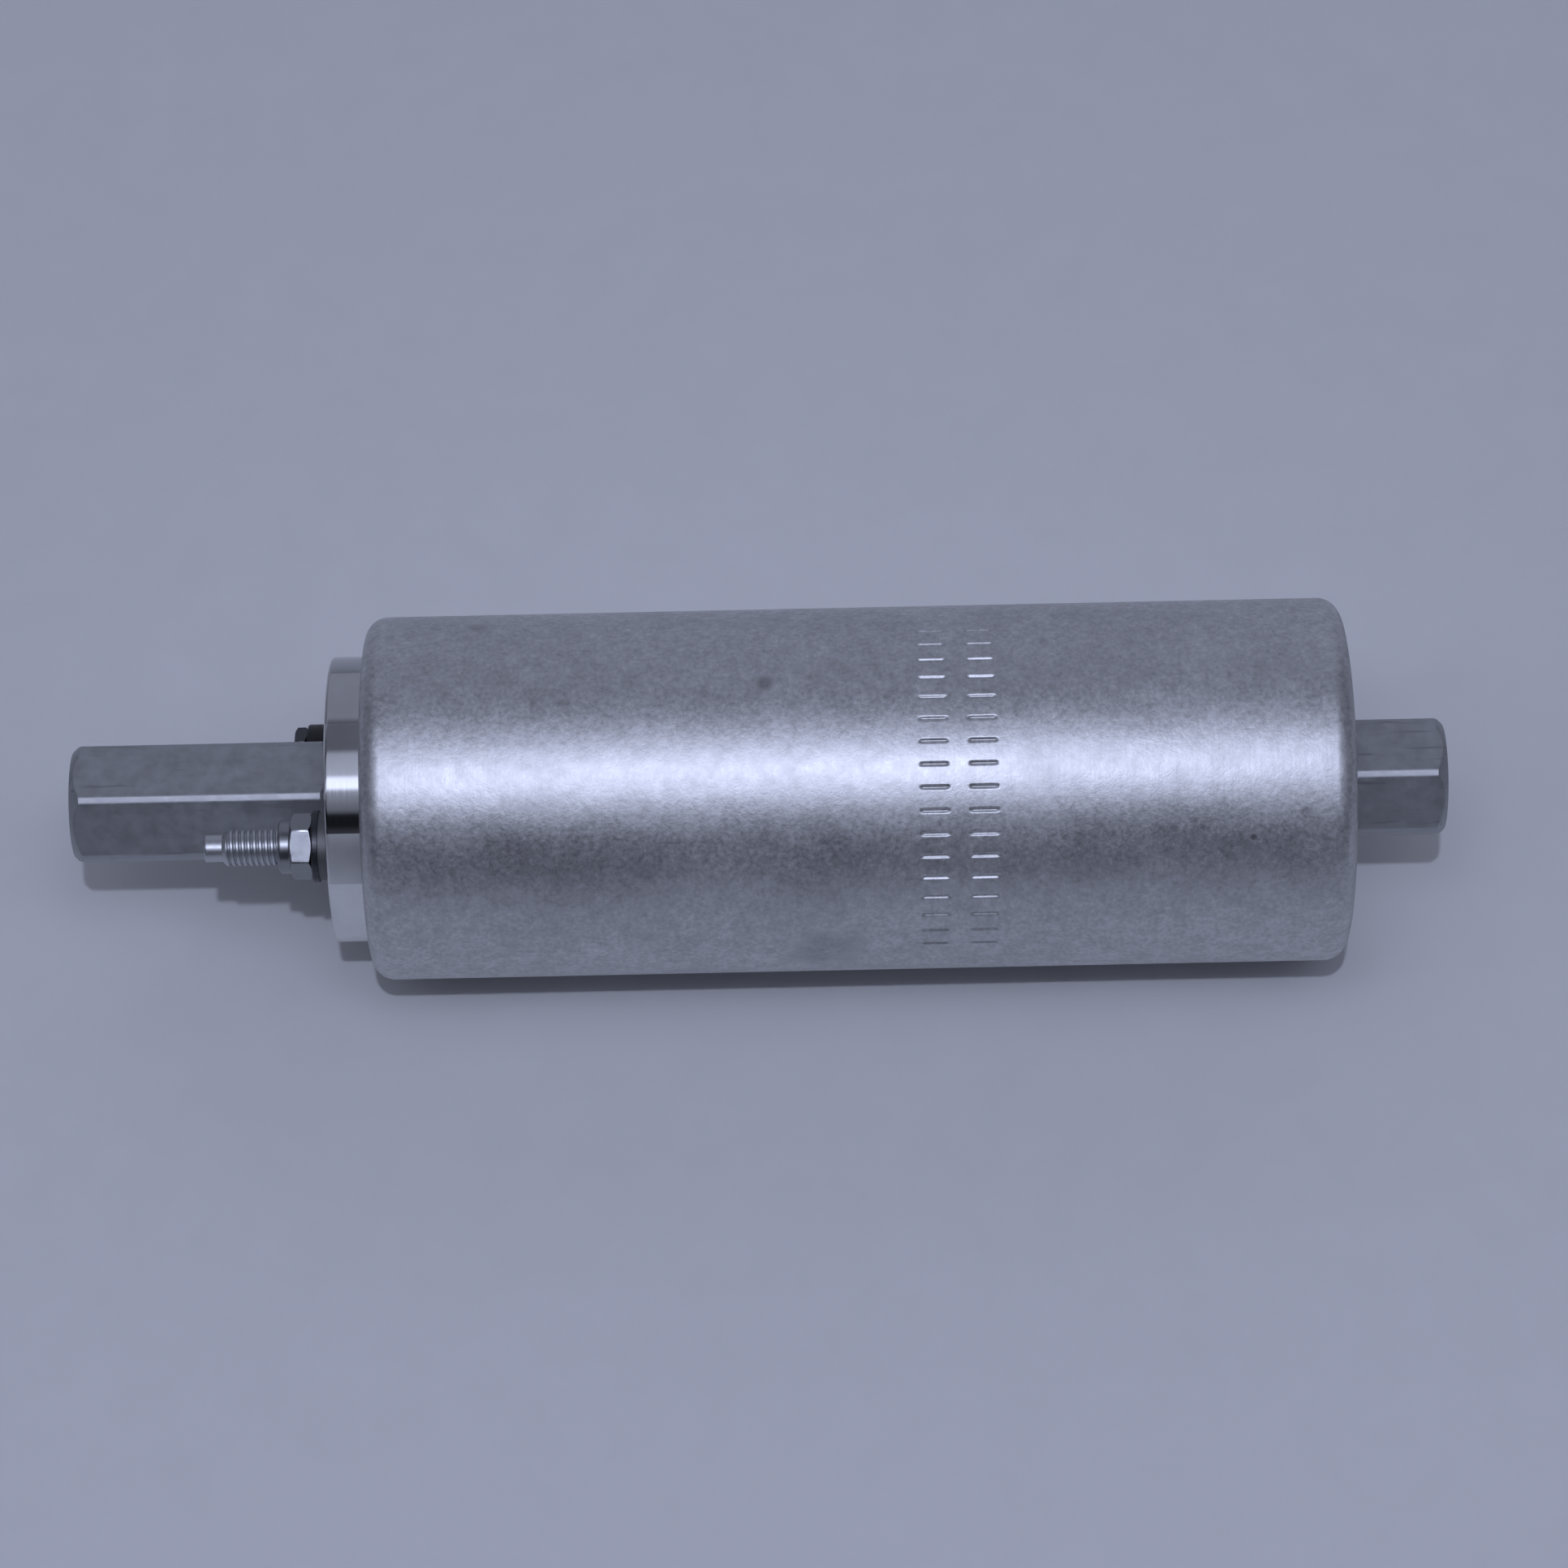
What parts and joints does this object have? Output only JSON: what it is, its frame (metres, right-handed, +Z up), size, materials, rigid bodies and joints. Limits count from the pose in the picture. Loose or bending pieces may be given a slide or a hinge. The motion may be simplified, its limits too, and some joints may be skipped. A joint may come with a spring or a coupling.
{
  "type": "inline electric fuel pump",
  "caption": "Round inline electric fuel pump: drawn aluminium can, hex threaded ports at both ends, terminal studs beside the outlet, and a brushed motor driving a gerotor inside.",
  "frame": {"origin": "on the pump's axis, half way along the can, where its clamp holds it", "axes": "+X along the axis toward the inlet, +Z up as the pump lies in the picture, with level hex flats on top; the negative stud is on the -Y side"},
  "size_m": [0.1917, 0.0508, 0.0508],
  "materials": {
    "drawn_aluminium": "drawn and tumbled, satin with a fine speckle",
    "turned_aluminium": "turned and polished",
    "cast_aluminium": "die cast, dull",
    "soft_aluminium": "stamped soft sheet",
    "plated_steel": "hex bar with dull grey plating",
    "zinc_steel": "bright zinc plated",
    "dark_steel": "black oxide",
    "polished_steel": "ground and polished",
    "mild_steel": "rolled tube",
    "lamination_steel": "stacked laminations",
    "sintered_steel": "sintered and ground",
    "spring_steel": "drawn wire or strip",
    "brass": "drawn or turned",
    "bronze": "sintered, oil filled",
    "copper": "stamped",
    "enamelled_wire": "wound enamelled copper",
    "ferrite": "pressed and sintered",
    "carbon": "pressed carbon",
    "seal_rubber": "moulded fuel-proof rubber",
    "black_nylon": "moulded",
    "natural_nylon": "moulded",
    "blue_nylon": "moulded ring",
    "moulding_resin": "moulded phenolic",
    "fibre_board": "pressed fibre"
  },
  "bodies": {
    "pump_body": {"shell": "drawn_aluminium", "outlet_cap": "turned_aluminium", "cap_seal": "seal_rubber", "outlet_fitting": "plated_steel", "outlet_seal_washer": "soft_aluminium", "check_valve_spring": "spring_steel", "check_valve_retainer": "brass", "inlet_fitting": "plated_steel", "inlet_seal": "seal_rubber", "negative_stud": "zinc_steel", "positive_stud": "zinc_steel", "positive_insulator": "black_nylon", "positive_inner_washer": "black_nylon", "positive_nut": "dark_steel", "brush_holder": "black_nylon", "brush_tubes": "brass", "brush_spring_upper": "spring_steel", "brush_spring_lower": "spring_steel", "strap_negative": "copper", "strap_positive": "copper", "choke_cores": "ferrite", "choke_windings": "enamelled_wire", "choke_leads": "copper", "brush_end_bush": "bronze", "flux_ring": "mild_steel", "magnet_upper": "ferrite", "magnet_lower": "ferrite", "magnet_clips": "spring_steel", "outlet_plate": "turned_aluminium", "pump_end_bush": "bronze", "pump_ring": "sintered_steel", "inlet_plate": "turned_aluminium", "pump_dowels": "polished_steel", "pump_screws": "dark_steel", "inlet_housing": "cast_aluminium", "relief_valve_spring": "spring_steel"},
    "armature": {"armature_shaft": "polished_steel", "armature_core": "lamination_steel", "armature_winding": "enamelled_wire", "end_insulators": "fibre_board", "commutator_hub": "moulding_resin", "commutator_bars": "copper", "thrust_washers": "natural_nylon", "drive_coupling": "natural_nylon", "gerotor_inner": "sintered_steel"},
    "gerotor_outer": {"gerotor_outer": "sintered_steel"},
    "check_valve": {"check_valve_ball": "polished_steel"},
    "relief_valve": {"relief_valve_ball": "polished_steel"},
    "brush_upper": {"brush_upper": "carbon"},
    "brush_lower": {"brush_lower": "carbon"},
    "negative_washer": {"negative_washer": "dark_steel"},
    "negative_nut": {"negative_nut": "polished_steel", "negative_nut_insert": "blue_nylon"}
  },
  "joints": [
    {"name": "armature_spin", "type": "hinge", "parent": "pump_body", "child": "armature", "pos_m": [0, 0, 0], "axis": [1, 0, 0], "continuous": true},
    {"name": "gerotor_outer_spin", "type": "hinge", "parent": "pump_body", "child": "gerotor_outer", "pos_m": [0.0466, 0.0012, 0], "axis": [1, 0, 0], "continuous": true},
    {"name": "check_valve_lift", "type": "slide", "parent": "pump_body", "child": "check_valve", "axis": [-1, 0, 0], "range_m": [0, 0.002], "stiffness_N_per_m": 150, "springref_m": -0.005, "deforming": ["check_valve_spring"]},
    {"name": "relief_valve_lift", "type": "slide", "parent": "pump_body", "child": "relief_valve", "axis": [1, 0, 0], "range_m": [0, 0.0015], "stiffness_N_per_m": 1500, "springref_m": -0.003, "deforming": ["relief_valve_spring"]},
    {"name": "brush_upper_slide", "type": "slide", "parent": "pump_body", "child": "brush_upper", "axis": [0, 0, 1], "range_m": [0, 0.0025], "stiffness_N_per_m": 200, "springref_m": -0.006, "deforming": ["brush_spring_upper"]},
    {"name": "brush_lower_slide", "type": "slide", "parent": "pump_body", "child": "brush_lower", "axis": [0, 0, -1], "range_m": [0, 0.0025], "stiffness_N_per_m": 200, "springref_m": -0.006, "deforming": ["brush_spring_lower"]},
    {"name": "negative_washer_slide", "type": "slide", "parent": "pump_body", "child": "negative_washer", "axis": [-1, 0, 0], "range_m": [0, 0.0064]},
    {"name": "negative_nut_turn", "type": "hinge", "parent": "negative_washer", "child": "negative_nut", "pos_m": [-0.0783, -0.01235, 0.00713], "axis": [-1, 0, 0], "range_deg": [0, 2880]}
  ],
  "couplings": [
    {"joint": "gerotor_outer_spin", "follows": "armature_spin", "ratio": 0.85714},
    {"joint": "negative_nut_turn", "follows": "negative_washer_slide", "rad_per_m": 7854}
  ]
}
